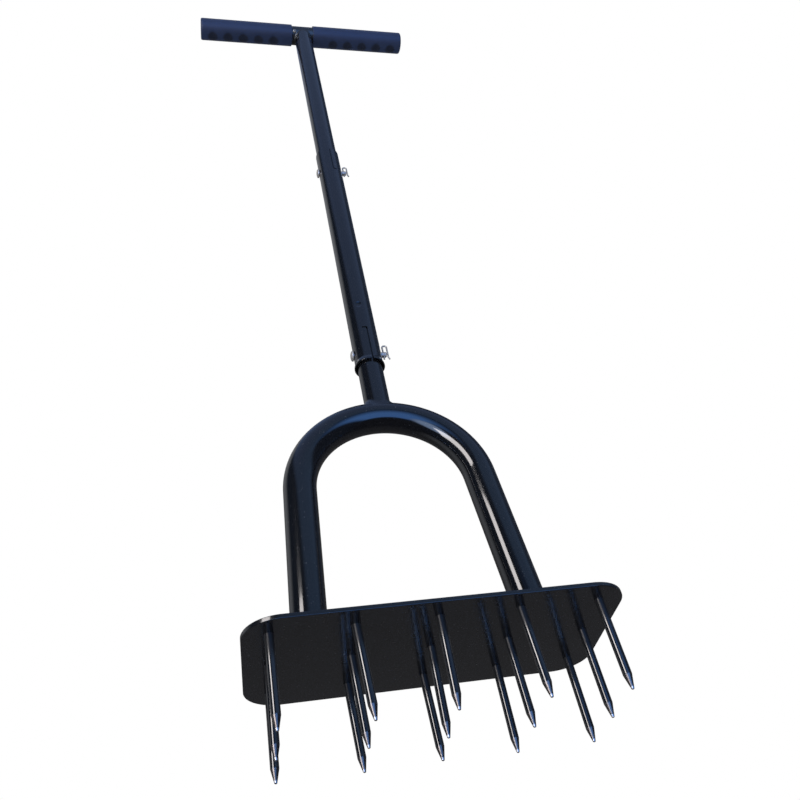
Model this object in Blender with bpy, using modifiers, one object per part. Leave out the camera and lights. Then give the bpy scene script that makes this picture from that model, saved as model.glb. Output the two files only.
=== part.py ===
"""Manual lawn aerator: a spiked steel plate, a bent tube bow, a pole in three tubes and a T-handle.

Metres, +Z up. The origin is on the pole's axis, level with the tips of the spikes. +X runs to the
right along the plate, and the front is -Y. Run it with blender --background --python part.py, or
from Blender's text editor.
"""

import math

import bmesh
import bpy
from mathutils import Matrix, Vector

PARTS = "lawn_aerator"
CUTTERS = "cutters"

# Clearance between meshes that touch on the real object
GAP = 0.0003
# How far a cutter runs past the piece that it cuts
OVERCUT = 0.002
SHARP_ANGLE = math.radians(35)
TUBE_SIDES = 28
FINE_SIDES = 48
PIN_SIDES = 20
WIRE_SIDES = 12
WIRE_BEVEL = 2
WIRE_RESOLUTION = 4
ROUND_STEPS = 3
MERGE_DISTANCE = 0.000002

# Plate
PLATE_WIDTH = 0.295
PLATE_DEPTH = 0.146
PLATE_THICKNESS = 0.0035
PLATE_CORNER = 0.030
PLATE_CORNER_STEPS = 8
PLATE_UNDERSIDE = 0.072
PLATE_TOP = PLATE_UNDERSIDE + PLATE_THICKNESS
PLATE_MIDDLE = PLATE_UNDERSIDE + PLATE_THICKNESS / 2
# The plate's middle lies this far to the right of the pole, as it was welded
PLATE_OFFSET = 0.0037

# Spikes, in columns from the left and rows from the front
COLUMNS = 5
ROWS = 3
COLUMN_PITCH = 0.0635
ROW_PITCH = 0.050
SPIKE_SIDES = 16
SPIKE_RADIUS = 0.0035
SPIKE_CONE = 0.0115
SPIKE_POINT_RADIUS = 0.0012
SPIKE_POINT_ROUND = 0.0008
SPIKE_HOLE_PLAY = 0.0005
# Degrees that each tip leans to the right and to the back, row by row, as the spikes were welded
LEANS_RIGHT = ((0.5, 3.0, -0.5, 3.0, 3.0), (0.0, 2.5, -0.5, 2.5, 3.0), (0.0, 3.0, 1.5, 0.5, 1.5))
LEANS_BACK = ((-2.0, 0.5, 0.5, -0.5, 3.0), (0.0, 0.0, 0.5, 2.0, 3.5), (-3.0, -1.0, -2.5, 1.5, 1.5))
SPIKE_WELD_RADIUS = 0.006
SPIKE_WELD_HEIGHT = 0.0022

# Bow
BOW_RADIUS = 0.015
BOW_WALL = 0.0018
BOW_BEVEL = 10
BORE_BEVEL = 7
ARCH_RADIUS = 0.0835
ARCH_CENTRE_X = -0.0012
ARCH_CENTRE_Z = 0.2303
ARCH_STEPS = 28
# Degrees that each leg spreads outwards, going down
LEFT_SPLAY = 2.2
RIGHT_SPLAY = 4.8
LEG_WELD_RADIUS = 0.0042

# Pole: the neck and the stem are 25.4 mm tube, and the tube around them is 28.6 mm
STEM_RADIUS = 0.0127
STEM_WALL = 0.0015
STEM_FOOT = 0.680
NECK_TOP = 0.458
NECK_WELD_RADIUS = 0.0038
MIDDLE_RADIUS = 0.0143
MIDDLE_WALL = 0.0013
MIDDLE_FOOT = 0.381
MIDDLE_TOP = 0.764
FLARE_RADIUS = 0.0156
FLARE_HEIGHT = 0.0055
FLARE_RIM = 0.0016
SLIT_WIDTH = 0.0018
SLIT_LENGTH = 0.0455
SLIT_TURN = 8.0
NOTCH_WIDTH = 0.0055
NOTCH_HEIGHT = 0.0017
DIMPLE_HEIGHT = 0.4627
DIMPLE_TURN = -7.0
DIMPLE_RADIUS = 0.012
DIMPLE_DEPTH = 0.0009

# T-handle
HANDLE_HEIGHT = 1.0965
HANDLE_TURN = 2.5
BAR_HALF = 0.1525
BAR_RADIUS = 0.0136
BAR_WALL = 0.0015
BAR_WELD_RADIUS = 0.0018
GRIP_RADIUS = 0.0155
GRIP_END = 0.003
GRIP_ROUND = 0.0022
GRIP_LIP = 0.0008
LEFT_GRIP_INNER = 0.0172
RIGHT_GRIP_INNER = 0.0148
FINGERS = 5
FINGER_PITCH = 0.0225
FINGER_RADIUS = 0.014
FINGER_DEPTH = 0.0012
FIRST_FINGER = 0.017
SCREW_FROM_POLE = 0.0138
SCREW_BELOW_LEVEL = 37.0
SCREW_HEAD_RADIUS = 0.0026
SCREW_HEAD_HEIGHT = 0.0018
SCREW_SHANK_RADIUS = 0.0016
SCREW_LENGTH = 0.009

# Lock pins and their hairpin clips
LOWER_PIN = 0.3992
UPPER_PIN = 0.7265
PIN_RADIUS = 0.003
PIN_TIP = 0.0201
PIN_CHAMFER = 0.0009
PIN_HEAD_RADIUS = 0.0055
PIN_HEAD_RIM = 0.0010
PIN_HEAD_HEIGHT = 0.0030
CLIP_PLANE = 0.0169
CLIP_WIRE = 0.0009
CLIP_PLAY = 0.0005
CLIP_LOOP_CENTRE = 0.0105
CLIP_LOOP_STEPS = 4
CLIP_FOOT = -0.0062
CLIP_FLARE = 0.0010


def clear_scene():
    for obj in list(bpy.data.objects):
        bpy.data.objects.remove(obj)
    for name in (PARTS, CUTTERS):
        bpy.context.scene.collection.children.link(bpy.data.collections.new(name))


def make_material(name, colour, roughness, metallic):
    material = bpy.data.materials.new(name)
    material.use_nodes = True
    shader = material.node_tree.nodes["Principled BSDF"]
    shader.inputs["Base Color"].default_value = (*colour, 1.0)
    shader.inputs["Roughness"].default_value = roughness
    shader.inputs["Metallic"].default_value = metallic
    return material


def add_part(obj, material, parent=None):
    """Puts a piece among the parts, with its material, under an empty where one is given."""
    if obj.name not in bpy.data.collections[PARTS].objects:
        bpy.data.collections[PARTS].objects.link(obj)
    if not obj.data.materials:
        obj.data.materials.append(material)
    obj.parent = parent
    return obj


def add_cutter(obj):
    bpy.data.collections[CUTTERS].objects.link(obj)
    obj.hide_render = True
    obj.display_type = "WIRE"
    return obj


def empty_at(name, place, turn=0.0):
    """An empty that carries the pieces of one joint or of the handle."""
    empty = bpy.data.objects.new(name, None)
    empty.location = place
    empty.rotation_euler.z = math.radians(turn)
    bpy.data.collections[PARTS].objects.link(empty)
    return empty


def cut(obj, cutter):
    boolean = obj.modifiers.new(cutter.name, "BOOLEAN")
    boolean.operation = "DIFFERENCE"
    boolean.object = cutter


def evaluated_mesh(obj):
    bpy.context.view_layer.update()
    evaluated = obj.evaluated_get(bpy.context.evaluated_depsgraph_get())
    return bpy.data.meshes.new_from_object(evaluated)


def finish(obj):
    """Applies a round piece's modifiers and shades it smooth between its hard edges."""
    mesh = evaluated_mesh(obj)
    obj.modifiers.clear()
    obj.data = mesh
    mesh.shade_smooth()
    mesh.set_sharp_from_angle(angle=SHARP_ANGLE)


def turned(name, profile, sides, closed=False):
    """Turns (radius, height) points about +Z. They run down the outer side of the shape."""
    last = len(profile) - 1
    edges = [(i, i + 1) for i in range(last)]
    if closed:
        edges.append((last, 0))
    mesh = bpy.data.meshes.new(name)
    mesh.from_pydata([(radius, 0.0, height) for radius, height in profile], edges, [])
    obj = bpy.data.objects.new(name, mesh)
    screw = obj.modifiers.new("Turn", "SCREW")
    screw.steps = sides
    screw.render_steps = sides
    screw.use_merge_vertices = True
    screw.merge_threshold = MERGE_DISTANCE
    return obj


def quarter_round(rim, level, radius, rise):
    """(radius, height) points of a quarter ellipse, from its outer edge in to its top or bottom."""
    angles = [math.pi / 2 * i / ROUND_STEPS for i in range(ROUND_STEPS + 1)]
    return [(rim + radius * math.cos(angle), level + rise * math.sin(angle)) for angle in angles]


def tube_profile(radius, wall, bottom, top):
    inner = radius - wall
    return [(radius, top), (radius, bottom), (inner, bottom), (inner, top)]


def wire(name, points, radius, bevel, cyclic=False):
    """A round wire or tube along straight stretches between points."""
    curve = bpy.data.curves.new(name, "CURVE")
    curve.dimensions = "3D"
    curve.bevel_depth = radius
    curve.bevel_resolution = bevel
    curve.use_fill_caps = not cyclic
    spline = curve.splines.new("POLY")
    spline.points.add(len(points) - 1)
    for point, place in zip(spline.points, points):
        point.co = (*place, 1.0)
    spline.use_cyclic_u = cyclic
    return bpy.data.objects.new(name, curve)


def as_mesh(curve_object, collection):
    """Swaps a curve object for a mesh object of the same name, with its caps welded on."""
    bpy.data.collections[collection].objects.link(curve_object)
    mesh = evaluated_mesh(curve_object)
    work = bmesh.new()
    work.from_mesh(mesh)
    bmesh.ops.remove_doubles(work, verts=work.verts, dist=MERGE_DISTANCE)
    work.to_mesh(mesh)
    work.free()
    name, matrix = curve_object.name, curve_object.matrix_world.copy()
    bpy.data.objects.remove(curve_object)
    obj = bpy.data.objects.new(name, mesh)
    obj.matrix_world = matrix
    return obj


def rod_cutter(name, radius, start, end, sides=FINE_SIDES):
    start, end = Vector(start), Vector(end)
    mesh = bpy.data.meshes.new(name)
    work = bmesh.new()
    bmesh.ops.create_cone(work, cap_ends=True, segments=sides, radius1=radius, radius2=radius,
                          depth=(end - start).length)
    work.to_mesh(mesh)
    work.free()
    obj = add_cutter(bpy.data.objects.new(name, mesh))
    turn = (end - start).to_track_quat("Z", "Y").to_matrix().to_4x4()
    obj.matrix_world = Matrix.Translation((start + end) / 2) @ turn
    return obj


def box_cutter(name, low, high, turn=0.0):
    """A box from its lowest to its highest corner, turned in degrees about the pole."""
    low, high = Vector(low), Vector(high)
    place = Matrix.Translation((low + high) / 2) @ Matrix.Diagonal((*(high - low), 1))
    mesh = bpy.data.meshes.new(name)
    work = bmesh.new()
    bmesh.ops.create_cube(work, size=1.0)
    bmesh.ops.transform(work, verts=work.verts, matrix=place)
    work.to_mesh(mesh)
    work.free()
    obj = add_cutter(bpy.data.objects.new(name, mesh))
    obj.rotation_euler.z = math.radians(turn)
    return obj


def ball_cutter(name, radius, place):
    mesh = bpy.data.meshes.new(name)
    work = bmesh.new()
    bmesh.ops.create_uvsphere(work, u_segments=FINE_SIDES, v_segments=TUBE_SIDES, radius=radius)
    work.to_mesh(mesh)
    work.free()
    obj = add_cutter(bpy.data.objects.new(name, mesh))
    obj.location = place
    return obj


def spike_places():
    """Each spike's column, row and place in the plate."""
    for column in range(COLUMNS):
        for row in range(ROWS):
            x = PLATE_OFFSET + (column - (COLUMNS - 1) / 2) * COLUMN_PITCH
            y = (row - (ROWS - 1) / 2) * ROW_PITCH
            yield column, row, Vector((x, y, PLATE_MIDDLE))


def rounded_rectangle(width, depth, radius, steps):
    points = []
    for quarter in range(4):
        side_x = 1 if quarter in (0, 3) else -1
        side_y = 1 if quarter in (0, 1) else -1
        for i in range(steps + 1):
            angle = math.pi / 2 * (quarter + i / steps)
            points.append((side_x * (width / 2 - radius) + radius * math.cos(angle),
                           side_y * (depth / 2 - radius) + radius * math.sin(angle)))
    return points


def turn_angles(count):
    return [2 * math.pi * i / count for i in range(count)]


def circle(x, y, radius, sides):
    return [(x + radius * math.cos(angle), y + radius * math.sin(angle)) for angle in turn_angles(sides)]


def add_outline(curve, points):
    spline = curve.splines.new("POLY")
    spline.points.add(len(points) - 1)
    for point, (x, y) in zip(spline.points, points):
        point.co = (x, y, 0.0, 1.0)
    spline.use_cyclic_u = True


def make_plate(paint):
    """The flat plate with round corners and a hole for each spike."""
    curve = bpy.data.curves.new("spike_plate", "CURVE")
    curve.dimensions = "2D"
    curve.fill_mode = "BOTH"
    curve.extrude = PLATE_THICKNESS / 2
    add_outline(curve, rounded_rectangle(PLATE_WIDTH, PLATE_DEPTH, PLATE_CORNER, PLATE_CORNER_STEPS))
    for _, _, place in spike_places():
        hole = circle(place.x - PLATE_OFFSET, place.y, SPIKE_RADIUS + SPIKE_HOLE_PLAY, SPIKE_SIDES)
        add_outline(curve, hole)
    plate = add_part(bpy.data.objects.new("spike_plate", curve), paint)
    plate.location = (PLATE_OFFSET, 0, PLATE_MIDDLE)


def make_spikes(paint):
    """Round spikes with rounded points, each leaning as it was welded, and its origin in the plate."""
    length = PLATE_MIDDLE
    top = (PLATE_THICKNESS - GAP) / 2
    point = SPIKE_POINT_ROUND - length
    profile = [(0, top), (SPIKE_RADIUS, top), (SPIKE_RADIUS, SPIKE_CONE - length)]
    profile += quarter_round(0, point, SPIKE_POINT_RADIUS, -SPIKE_POINT_ROUND)
    for column, row, place in spike_places():
        spike = turned(f"spike_{column + 1}_{row + 1}", profile, SPIKE_SIDES)
        add_part(spike, paint)
        spike.location = place
        spike.rotation_euler.x = math.radians(LEANS_BACK[row][column])
        spike.rotation_euler.y = -math.radians(LEANS_RIGHT[row][column])
        finish(spike)


def make_spike_welds(paint):
    """A low round weld over each spike's top end, on the plate's upper face."""
    profile = quarter_round(0, 0, SPIKE_WELD_RADIUS, SPIKE_WELD_HEIGHT)[::-1] + [(0, 0)]
    for column, row, place in spike_places():
        name = f"spike_weld_{column + 1}_{row + 1}"
        weld = add_part(turned(name, profile, WIRE_SIDES), paint)
        weld.location = (place.x, place.y, PLATE_TOP + GAP)
        finish(weld)


def arch_point(angle):
    return Vector((ARCH_CENTRE_X + ARCH_RADIUS * math.cos(angle), 0,
                   ARCH_CENTRE_Z + ARCH_RADIUS * math.sin(angle)))


def bow_points(foot_height):
    """The bow's centre line, from its left foot over the arch to its right foot."""
    left, right = math.radians(LEFT_SPLAY), math.radians(RIGHT_SPLAY)
    start, end = math.pi - left, right
    arch = [arch_point(start + (end - start) * i / ARCH_STEPS) for i in range(ARCH_STEPS + 1)]
    left_foot = Vector((arch[0].x - (arch[0].z - foot_height) * math.tan(left), 0, foot_height))
    right_foot = Vector((arch[-1].x + (arch[-1].z - foot_height) * math.tan(right), 0, foot_height))
    return [left_foot, *arch, right_foot]


def make_bow(paint, floor_cutter, solid_bow):
    """The bow's tube, its feet cut level with the plate, and the welds round its feet."""
    path = bow_points(PLATE_UNDERSIDE)
    bow = add_part(as_mesh(wire("u_frame", path, BOW_RADIUS, BOW_BEVEL), PARTS), paint)
    bore = as_mesh(wire("bow_bore", path, BOW_RADIUS - BOW_WALL, BORE_BEVEL), CUTTERS)
    cut(bow, add_cutter(bore))
    cut(bow, floor_cutter)
    finish(bow)

    on_plate = bow_points(PLATE_TOP + GAP)
    for side, foot, splay in (("left", on_plate[0], LEFT_SPLAY), ("right", on_plate[-1], RIGHT_SPLAY)):
        reach = BOW_RADIUS / math.cos(math.radians(splay))
        ring = [foot + Vector((reach * math.cos(angle), BOW_RADIUS * math.sin(angle), 0))
                for angle in turn_angles(TUBE_SIDES)]
        weld_bead(f"{side}_leg_weld", ring, LEG_WELD_RADIUS, (floor_cutter, solid_bow), paint)


def weld_bead(name, ring, radius, hollows, paint, parent=None):
    """A bead along the line where two pieces meet, hollowed by both of them."""
    bead = add_part(as_mesh(wire(name, ring, radius, WIRE_BEVEL, cyclic=True), PARTS), paint, parent)
    for hollow in hollows:
        cut(bead, hollow)
    finish(bead)


def pin_hole(level, height):
    """The cutter for a lock pin's hole through the pole."""
    ends = [(x, 0, height) for x in (-2 * MIDDLE_RADIUS, 2 * MIDDLE_RADIUS)]
    return rod_cutter(f"{level}_pin_hole", PIN_RADIUS + GAP, *ends, PIN_SIDES)


def make_neck(paint, solid_bow, lower_hole):
    """The short tube on top of the bow, cut to the bow's shape, and its weld."""
    arch_top = ARCH_CENTRE_Z + ARCH_RADIUS
    profile = tube_profile(STEM_RADIUS, STEM_WALL, arch_top, NECK_TOP)
    neck = add_part(turned("neck_stub", profile, TUBE_SIDES, closed=True), paint)
    cut(neck, solid_bow)
    cut(neck, lower_hole)
    finish(neck)

    solid_neck = rod_cutter("solid_neck", STEM_RADIUS + GAP, (0, 0, ARCH_CENTRE_Z), (0, 0, NECK_TOP))
    ring = []
    for angle in turn_angles(TUBE_SIDES):
        x, y = STEM_RADIUS * math.cos(angle), STEM_RADIUS * math.sin(angle)
        reach = ARCH_RADIUS + math.sqrt(BOW_RADIUS ** 2 - y ** 2)
        ring.append((x, y, ARCH_CENTRE_Z + math.sqrt(reach ** 2 - (x - ARCH_CENTRE_X) ** 2)))
    weld_bead("neck_weld", ring, NECK_WELD_RADIUS, (solid_bow, solid_neck), paint)


def slit_cutters(level, mouth, tip, notch_side):
    """A slit from a mouth of the middle tube to its tip, and the short cross notch at the tip."""
    inward = 1 if tip > mouth else -1
    front, back = -2 * MIDDLE_RADIUS, -MIDDLE_RADIUS / 2
    half = SLIT_WIDTH / 2
    low, high = sorted((mouth - inward * OVERCUT, tip))
    slit = box_cutter(f"{level}_slit", (-half, front, low), (half, back, high), SLIT_TURN)
    left, right = sorted((-notch_side * half, notch_side * (NOTCH_WIDTH - half)))
    low, high = sorted((tip - inward * GAP, tip + inward * NOTCH_HEIGHT))
    notch = box_cutter(f"{level}_notch", (left, front, low), (right, back, high), SLIT_TURN)
    return slit, notch


def make_middle_tube(paint, lower_hole, upper_hole):
    """The wide tube of the pole: flared at its foot, slit at both ends, with a stop dimple in front."""
    inner = MIDDLE_RADIUS - MIDDLE_WALL
    flare_top = MIDDLE_FOOT + FLARE_HEIGHT
    profile = [
        (MIDDLE_RADIUS, MIDDLE_TOP),
        (MIDDLE_RADIUS, flare_top),
        (FLARE_RADIUS, MIDDLE_FOOT + FLARE_RIM),
        (FLARE_RADIUS, MIDDLE_FOOT),
        (FLARE_RADIUS - MIDDLE_WALL, MIDDLE_FOOT),
        (inner, flare_top),
        (inner, MIDDLE_TOP),
    ]
    tube = add_part(turned("middle_tube", profile, TUBE_SIDES, closed=True), paint)
    side = math.radians(DIMPLE_TURN)
    reach = MIDDLE_RADIUS + DIMPLE_RADIUS - DIMPLE_DEPTH
    dimple_centre = (reach * math.sin(side), -reach * math.cos(side), DIMPLE_HEIGHT)
    cutters = [lower_hole, upper_hole, ball_cutter("dimple", DIMPLE_RADIUS, dimple_centre)]
    cutters += slit_cutters("lower", MIDDLE_FOOT, MIDDLE_FOOT + SLIT_LENGTH, -1)
    cutters += slit_cutters("upper", MIDDLE_TOP, MIDDLE_TOP - SLIT_LENGTH, 1)
    for cutter in cutters:
        cut(tube, cutter)
    finish(tube)


def make_stem(paint, handle, upper_hole, solid_bar):
    """The upper tube, cut at its top to the crossbar's shape."""
    profile = tube_profile(STEM_RADIUS, STEM_WALL, STEM_FOOT - HANDLE_HEIGHT, 0)
    stem = add_part(turned("upper_stem", profile, TUBE_SIDES, closed=True), paint, handle)
    cut(stem, upper_hole)
    cut(stem, solid_bar)
    finish(stem)


def make_crossbar(paint, handle, solid_bar, screw_hole):
    """The T-handle's tube, and its weld to the stem."""
    half = BAR_HALF - GRIP_END - GAP
    bar = turned("crossbar", tube_profile(BAR_RADIUS, BAR_WALL, -half, half), TUBE_SIDES, closed=True)
    add_part(bar, paint, handle)
    bar.rotation_euler.y = math.pi / 2
    cut(bar, screw_hole)
    finish(bar)

    solid_stem = rod_cutter("solid_stem", STEM_RADIUS + GAP, (0, 0, STEM_FOOT), (0, 0, HANDLE_HEIGHT))
    ring = []
    for angle in turn_angles(TUBE_SIDES):
        x, y = STEM_RADIUS * math.cos(angle), STEM_RADIUS * math.sin(angle)
        ring.append((x, y, -math.sqrt(BAR_RADIUS ** 2 - y ** 2)))
    weld_bead("crossbar_weld", ring, BAR_WELD_RADIUS, (solid_bar, solid_stem), paint, handle)


def make_screw(zinc, handle):
    """The screw in the crossbar's lower front, left of the stem, and the cutter for its hole."""
    below = math.radians(SCREW_BELOW_LEVEL)
    out = Vector((0, -math.cos(below), -math.sin(below)))
    seat = Vector((-SCREW_FROM_POLE, 0, 0)) + out * (BAR_RADIUS + GAP)
    frame = handle_frame()
    hole = rod_cutter("screw_hole", SCREW_SHANK_RADIUS + GAP, frame @ (seat - out * SCREW_LENGTH),
                      frame @ (seat + out * SCREW_HEAD_HEIGHT), PIN_SIDES)

    profile = quarter_round(0, 0, SCREW_HEAD_RADIUS, SCREW_HEAD_HEIGHT)[::-1]
    profile += [(SCREW_SHANK_RADIUS, 0), (SCREW_SHANK_RADIUS, -SCREW_LENGTH), (0, -SCREW_LENGTH)]
    screw = add_part(turned("handle_screw", profile, PIN_SIDES), zinc, handle)
    screw.location = seat
    screw.rotation_mode = "QUATERNION"
    screw.rotation_quaternion = out.to_track_quat("Z", "Y")
    finish(screw)
    return hole


def handle_frame():
    """World matrix of the handle's empty."""
    return Matrix.Translation((0, 0, HANDLE_HEIGHT)) @ Matrix.Rotation(math.radians(HANDLE_TURN), 4, "Z")


def make_grip(side, inner, rubber, handle):
    """A moulded grip with a closed outer end and finger grooves underneath, turned along local +Z."""
    length = BAR_HALF - inner
    bore = BAR_RADIUS + GAP
    profile = [(0, length)]
    profile += quarter_round(GRIP_RADIUS - GRIP_ROUND, length - GRIP_ROUND, GRIP_ROUND, GRIP_ROUND)[::-1]
    profile += [(GRIP_RADIUS, GRIP_LIP), (GRIP_RADIUS - GRIP_LIP, 0)]
    profile += [(bore, 0), (bore, length - GRIP_END), (0, length - GRIP_END)]
    grip = add_part(turned(f"{side}_grip", profile, TUBE_SIDES), rubber, handle)
    outward = -1 if side == "left" else 1
    grip.rotation_euler.y = outward * math.pi / 2
    grip.location.x = outward * inner

    frame = handle_frame()
    depth = GRIP_RADIUS + FINGER_RADIUS - FINGER_DEPTH
    for finger in range(FINGERS):
        along = outward * (BAR_HALF - FIRST_FINGER - finger * FINGER_PITCH)
        ends = [frame @ Vector((along, y, -depth)) for y in (-2 * GRIP_RADIUS, 2 * GRIP_RADIUS)]
        cut(grip, rod_cutter(f"{side}_finger_{finger + 1}", FINGER_RADIUS, *ends))
    finish(grip)


def make_pin(level, height, zinc):
    """A lock pin with a low domed head on the left and a cross hole for its clip on the right."""
    joint = empty_at(f"{level}_joint", (0, 0, height))
    seat = -(MIDDLE_RADIUS + GAP)
    profile = [
        (0, PIN_TIP),
        (PIN_RADIUS - PIN_CHAMFER, PIN_TIP),
        (PIN_RADIUS, PIN_TIP - PIN_CHAMFER),
        (PIN_RADIUS, seat),
        (PIN_HEAD_RADIUS, seat),
    ]
    profile += quarter_round(0, seat - PIN_HEAD_RIM, PIN_HEAD_RADIUS, PIN_HEAD_RIM - PIN_HEAD_HEIGHT)
    pin = add_part(turned(f"{level}_pin", profile, PIN_SIDES), zinc, joint)
    pin.rotation_euler.y = math.pi / 2
    reach = 2 * PIN_RADIUS
    ends = [(CLIP_PLANE, 0, height - reach), (CLIP_PLANE, 0, height + reach)]
    cut(pin, rod_cutter(f"{level}_clip_hole", CLIP_WIRE + GAP, *ends, WIRE_SIDES))
    finish(pin)
    make_clip(level, zinc, joint)


def make_clip(level, zinc, joint):
    """A hairpin clip: a straight leg through the pin, a loop on top, and a leg past the pin's tip."""
    apart = PIN_TIP + CLIP_WIRE + CLIP_PLAY - CLIP_PLANE
    loop = apart / 2
    route = [(0, CLIP_FOOT), (0, 0), (0, CLIP_LOOP_CENTRE - loop)]
    for i in range(CLIP_LOOP_STEPS + 1):
        angle = math.pi * (1 - i / CLIP_LOOP_STEPS)
        route.append((loop + loop * math.cos(angle), CLIP_LOOP_CENTRE + loop * math.sin(angle)))
    route += [(apart, CLIP_LOOP_CENTRE - loop), (apart, 0), (apart, -PIN_RADIUS)]
    route.append((apart + CLIP_FLARE, CLIP_FOOT))
    curve = bpy.data.curves.new(f"{level}_clip", "CURVE")
    curve.dimensions = "3D"
    curve.bevel_depth = CLIP_WIRE
    curve.bevel_resolution = WIRE_BEVEL
    curve.resolution_u = WIRE_RESOLUTION
    curve.use_fill_caps = True
    spline = curve.splines.new("BEZIER")
    spline.bezier_points.add(len(route) - 1)
    for point, (x, z) in zip(spline.bezier_points, route):
        point.co = (x, 0, z)
        point.handle_left_type = "AUTO"
        point.handle_right_type = "AUTO"
    clip = add_part(bpy.data.objects.new(f"{level}_clip", curve), zinc, joint)
    clip.location.x = CLIP_PLANE


def make_body(paint):
    """The plate with its spikes, and the bow on top of it."""
    low = (-PLATE_WIDTH, -PLATE_DEPTH, 0)
    high = (PLATE_WIDTH, PLATE_DEPTH, PLATE_TOP + GAP)
    plate_space = box_cutter("plate_space", low, high)
    path = bow_points(PLATE_UNDERSIDE)
    solid_bow = add_cutter(as_mesh(wire("solid_bow", path, BOW_RADIUS + GAP, BOW_BEVEL), CUTTERS))
    make_plate(paint)
    make_spikes(paint)
    make_spike_welds(paint)
    make_bow(paint, plate_space, solid_bow)
    return solid_bow


def make_handle(paint, rubber, zinc, upper_hole):
    """The upper stem and everything that it carries, under one empty."""
    handle = empty_at("handle", (0, 0, HANDLE_HEIGHT), HANDLE_TURN)
    frame = handle_frame()
    ends = [frame @ Vector((x, 0, 0)) for x in (-BAR_HALF, BAR_HALF)]
    solid_bar = rod_cutter("solid_bar", BAR_RADIUS + GAP, *ends)
    make_stem(paint, handle, upper_hole, solid_bar)
    screw_hole = make_screw(zinc, handle)
    make_crossbar(paint, handle, solid_bar, screw_hole)
    make_grip("left", LEFT_GRIP_INNER, rubber, handle)
    make_grip("right", RIGHT_GRIP_INNER, rubber, handle)


def main():
    clear_scene()
    paint = make_material("black_paint", (0.008, 0.009, 0.013), 0.2, 0.0)
    rubber = make_material("grip_rubber", (0.014, 0.019, 0.036), 0.6, 0.0)
    zinc = make_material("zinc_plate", (0.66, 0.68, 0.72), 0.28, 1.0)

    solid_bow = make_body(paint)
    lower_hole = pin_hole("lower", LOWER_PIN)
    upper_hole = pin_hole("upper", UPPER_PIN)
    make_neck(paint, solid_bow, lower_hole)
    make_middle_tube(paint, lower_hole, upper_hole)
    make_handle(paint, rubber, zinc, upper_hole)
    make_pin("lower", LOWER_PIN, zinc)
    make_pin("upper", UPPER_PIN, zinc)


main()
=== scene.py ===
"""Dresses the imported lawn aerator: smooth tubes, spikes, welds, grips and hardware, and a plain studio.

Laid out as an add-on and run as a script. Metres, +Z up, the front is -Y, and the origin is on the
pole's axis, level with the tips of the spikes.
"""

import math

import bmesh
import bpy
from bpy.props import FloatProperty, FloatVectorProperty, IntProperty, PointerProperty
from mathutils import Matrix, Vector


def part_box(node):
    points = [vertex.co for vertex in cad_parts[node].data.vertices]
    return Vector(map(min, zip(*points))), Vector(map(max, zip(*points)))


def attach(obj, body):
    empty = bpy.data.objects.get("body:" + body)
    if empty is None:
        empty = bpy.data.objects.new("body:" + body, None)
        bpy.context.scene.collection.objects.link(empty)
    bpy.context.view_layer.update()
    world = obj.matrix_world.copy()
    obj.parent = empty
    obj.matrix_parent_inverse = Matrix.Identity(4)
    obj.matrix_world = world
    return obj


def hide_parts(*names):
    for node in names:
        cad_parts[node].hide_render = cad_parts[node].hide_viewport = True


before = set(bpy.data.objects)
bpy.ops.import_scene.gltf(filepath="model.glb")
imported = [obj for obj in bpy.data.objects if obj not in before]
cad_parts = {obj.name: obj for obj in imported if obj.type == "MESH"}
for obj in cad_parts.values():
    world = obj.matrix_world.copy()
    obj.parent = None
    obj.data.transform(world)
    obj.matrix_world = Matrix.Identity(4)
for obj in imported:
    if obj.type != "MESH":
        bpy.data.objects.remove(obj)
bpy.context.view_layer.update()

bl_info = {
    "name": "Lawn Aerator Looks",
    "version": (1, 0, 0),
    "blender": (4, 5, 0),
    "location": "View3D > Sidebar > Aerator",
    "description": "Builds the visible pieces of a step-on lawn aerator round its packed frame",
    "category": "Add Mesh",
}

# Sides of the round pieces, how near two points are merged, and how near two heights are the same
TUBE_SIDES = 96
SMALL_SIDES = 48
WIRE_SIDES = 20
SEAM = 0.000002
HAIR = 0.00001

# Plate and spikes, read from the frame where it holds them
PLATE_LOW, PLATE_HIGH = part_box("spike_plate")
PLATE_MIDDLE = (PLATE_LOW.z + PLATE_HIGH.z) / 2
PLATE_CORNER = 0.030
COLUMNS = 5
ROWS = 3
SPIKE_HOLE_RADIUS = 0.0037
SPIKE_HOLE_SIDES = 28
SPIKE_POINT_ROUND = 0.0008
SPIKE_WELD_HEIGHT = 0.0022
SPIKE_WELD_LUMPS = 0.0012
# Heights over the spikes' tips: bare steel up to the first, enamel that turns dull between the others
BARE_POINT = 0.0028
DULL_FROM = 0.048
DULL_ABOVE = 0.062
# Each spike's lean in degrees: a bracket for each row from the front, and its spikes from the left
LEANS_RIGHT = ((0.5, 3.0, -0.5, 3.0, 3.0), (0.0, 2.5, -0.5, 2.5, 3.0), (0.0, 3.0, 1.5, 0.5, 1.5))
LEANS_BACK = ((-2.0, 0.5, 0.5, -0.5, 3.0), (0.0, 0.0, 0.5, 2.0, 3.5), (-3.0, -1.0, -2.5, 1.5, 1.5))

# Bow. Each leg spreads outwards by its splay in degrees
BOW_RADIUS = 0.015
ARCH_RADIUS = 0.0835
ARCH_CENTRE_X = -0.0012
ARCH_CENTRE_Z = 0.2303
ARCH_STEPS = 96
LEG_STEPS = 30
LEFT_SPLAY = 2.2
RIGHT_SPLAY = 4.8

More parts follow.
